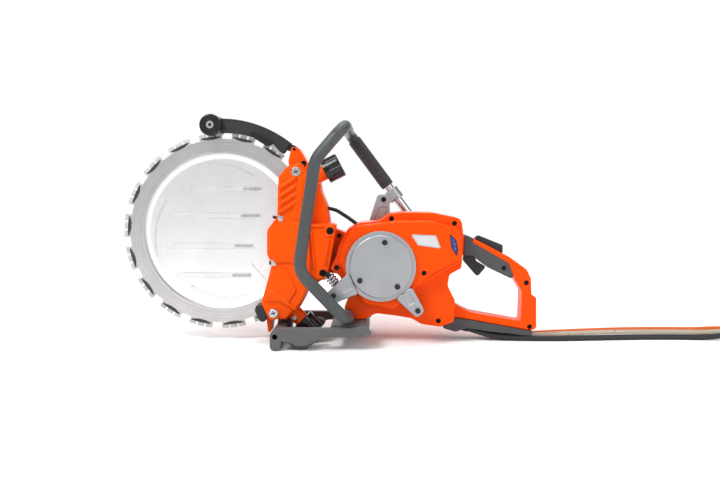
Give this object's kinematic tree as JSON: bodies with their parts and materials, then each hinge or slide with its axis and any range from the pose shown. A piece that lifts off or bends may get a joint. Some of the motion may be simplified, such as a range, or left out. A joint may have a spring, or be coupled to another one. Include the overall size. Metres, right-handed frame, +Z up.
{
  "type": "electric ring saw",
  "caption": "Hand-held electric ring saw for concrete with an open ring blade, swinging guard, bent front handle, trigger handle, foot and trailing cords",
  "frame": {"origin": "bottom centre of the machine's box, without its cords, on the floor it stands on", "axes": "+Z up, +X from the ring blade to the rear handle, +Y away from the roller cover's side; the ring's plane is square to Y"},
  "size_m": [1.2574, 0.2454, 0.4274],
  "materials": {
    "orange_plastic": "moulded, glossy",
    "orange_casting": "powder coated",
    "dark_plastic": "moulded, fine texture",
    "black_plastic": "moulded, glossy",
    "grey_rubber": "soft overmould",
    "foot_plastic": "moulded glass-filled nylon",
    "grip_rubber": "ribbed",
    "sleeve_rubber": "satin sleeve",
    "black_rubber": "moulded",
    "blade_steel": "ground",
    "disc_steel": "brushed",
    "sintered_diamond": "sintered metal",
    "bright_steel": "turned",
    "black_steel": "black oxide",
    "cast_aluminium": "die cast, satin",
    "tube_aluminium": "drawn",
    "wound_copper": "lacquered laminations and windings",
    "blue_lens": "translucent",
    "label": "printed foil, blank",
    "cable_sheath": "smooth",
    "clear_hose": "translucent",
    "orange_hose": "smooth",
    "brass": "turned"
  },
  "bodies": {
    "machine": {"centre_disc": "disc_steel", "disc_clips": "bright_steel", "drive_belt": "black_rubber", "belt_cover": "orange_casting", "motor_stator": "wound_copper", "bearings": "bright_steel", "drive_arm": "orange_casting", "roller_cover": "orange_casting", "roller_pins": "bright_steel", "springs": "bright_steel", "bolts": "black_steel", "motor_housing_near": "orange_plastic", "motor_housing_far": "orange_plastic", "housing_screws": "black_steel", "side_cover": "cast_aluminium", "side_cover_screws": "bright_steel", "vibration_mounts": "black_rubber", "rear_grip": "grey_rubber", "bottom_strip": "grey_rubber", "hinge_pins": "bright_steel", "power_switch": "dark_plastic", "status_window": "blue_lens", "label_plate": "label", "handle_tube": "tube_aluminium", "handle_sleeve": "sleeve_rubber", "handle_grip": "grip_rubber", "handle_bracket": "cast_aluminium", "handle_clamp": "dark_plastic", "foot": "foot_plastic", "splash_flap": "black_rubber", "water_feed_tube": "black_rubber", "cord_glands": "black_rubber", "power_connector": "black_rubber", "hose_couplings": "brass", "power_cable": "cable_sheath", "water_hose": "clear_hose", "return_hose": "orange_hose"},
    "ring": {"ring_core": "blade_steel", "diamond_segments": "sintered_diamond"},
    "drive_line": {"drive_wheel": "bright_steel", "drive_shaft": "bright_steel", "driven_pulley": "black_steel"},
    "motor_rotating": {"motor_shaft": "bright_steel", "motor_rotor": "wound_copper", "motor_pulley": "black_steel"},
    "upper_support_roller": {"upper_support_roller": "bright_steel"},
    "lower_support_roller": {"lower_support_roller": "bright_steel"},
    "upper_guide_roller": {"upper_guide_roller": "bright_steel"},
    "lower_guide_roller": {"lower_guide_roller": "bright_steel"},
    "upper_lever": {"upper_roller_lever": "black_steel"},
    "lower_lever": {"lower_roller_lever": "black_steel"},
    "upper_knob": {"upper_knob": "black_plastic"},
    "lower_knob": {"lower_knob": "black_plastic"},
    "guard": {"blade_guard": "dark_plastic", "guard_axle": "bright_steel", "guard_clip": "black_plastic", "guard_strap": "bright_steel"},
    "guard_wheels": {"guard_rollers": "black_plastic"},
    "trigger": {"trigger": "dark_plastic"},
    "lockout": {"throttle_lockout": "dark_plastic"}
  },
  "joints": [
    {"name": "ring_spin", "type": "hinge", "parent": "machine", "child": "ring", "pos_m": [-0.20502, -0.00175, 0.20817], "axis": [0, 1, 0], "continuous": true},
    {"name": "drive_wheel_spin", "type": "hinge", "parent": "machine", "child": "drive_line", "pos_m": [-0.08398, -0.00175, 0.189], "axis": [0, 1, 0], "continuous": true},
    {"name": "motor_spin", "type": "hinge", "parent": "machine", "child": "motor_rotating", "pos_m": [0.09602, -0.00175, 0.146], "axis": [0, 1, 0], "continuous": true},
    {"name": "upper_knob_turn", "type": "hinge", "parent": "machine", "child": "upper_knob", "pos_m": [0.00696, -0.02275, 0.32596], "axis": [0.891, 0, 0.454], "range_deg": [0, 720]},
    {"name": "upper_lever_swing", "type": "hinge", "parent": "machine", "child": "upper_lever", "pos_m": [-0.06027, -0.02775, 0.31889], "axis": [0, -1, 0], "range_deg": [0, 5]},
    {"name": "upper_support_roller_spin", "type": "hinge", "parent": "upper_lever", "child": "upper_support_roller", "pos_m": [-0.06475, -0.00875, 0.28325], "axis": [0, 1, 0], "continuous": true},
    {"name": "upper_guide_roller_spin", "type": "hinge", "parent": "machine", "child": "upper_guide_roller", "pos_m": [-0.06475, 0.00525, 0.28325], "axis": [0, 1, 0], "continuous": true},
    {"name": "lower_knob_turn", "type": "hinge", "parent": "machine", "child": "lower_knob", "pos_m": [-0.03981, -0.02275, 0.03064], "axis": [0.7071, 0, -0.7071], "range_deg": [0, 720]},
    {"name": "lower_lever_swing", "type": "hinge", "parent": "machine", "child": "lower_lever", "pos_m": [-0.10157, -0.02775, 0.05814], "axis": [0, 1, 0], "range_deg": [0, 5]},
    {"name": "lower_support_roller_spin", "type": "hinge", "parent": "lower_lever", "child": "lower_support_roller", "pos_m": [-0.09482, -0.00875, 0.09342], "axis": [0, 1, 0], "continuous": true},
    {"name": "lower_guide_roller_spin", "type": "hinge", "parent": "machine", "child": "lower_guide_roller", "pos_m": [-0.09482, 0.00525, 0.09342], "axis": [0, 1, 0], "continuous": true},
    {"name": "guard_swing", "type": "hinge", "parent": "machine", "child": "guard", "pos_m": [-0.06698, -0.00175, 0.362], "axis": [0, 1, 0], "range_deg": [0, 60]},
    {"name": "guard_wheel_spin", "type": "hinge", "parent": "guard", "child": "guard_wheels", "pos_m": [-0.2224, -0.00175, 0.40691], "axis": [0, 1, 0], "continuous": true},
    {"name": "trigger_pull", "type": "hinge", "parent": "machine", "child": "trigger", "pos_m": [0.26302, 0.00825, 0.1715], "axis": [0, -1, 0], "range_deg": [0, 12], "stiffness_Nm_per_rad": 0.8, "springref_deg": -20.05},
    {"name": "lockout_press", "type": "hinge", "parent": "machine", "child": "lockout", "pos_m": [0.27702, 0.00825, 0.186], "axis": [0, 1, 0], "range_deg": [0, 7], "stiffness_Nm_per_rad": 0.8, "springref_deg": -20.05}
  ],
  "couplings": [
    {"joint": "drive_wheel_spin", "follows": "ring_spin", "ratio": 6.5773},
    {"joint": "motor_spin", "follows": "ring_spin", "ratio": 8.3312},
    {"joint": "upper_lever_swing", "follows": "upper_knob_turn", "ratio": 0.0069444},
    {"joint": "upper_support_roller_spin", "follows": "ring_spin", "ratio": -16.667},
    {"joint": "upper_guide_roller_spin", "follows": "ring_spin", "ratio": -16.667},
    {"joint": "lower_lever_swing", "follows": "lower_knob_turn", "ratio": 0.0069444},
    {"joint": "lower_support_roller_spin", "follows": "ring_spin", "ratio": -16.667},
    {"joint": "lower_guide_roller_spin", "follows": "ring_spin", "ratio": -16.667}
  ]
}
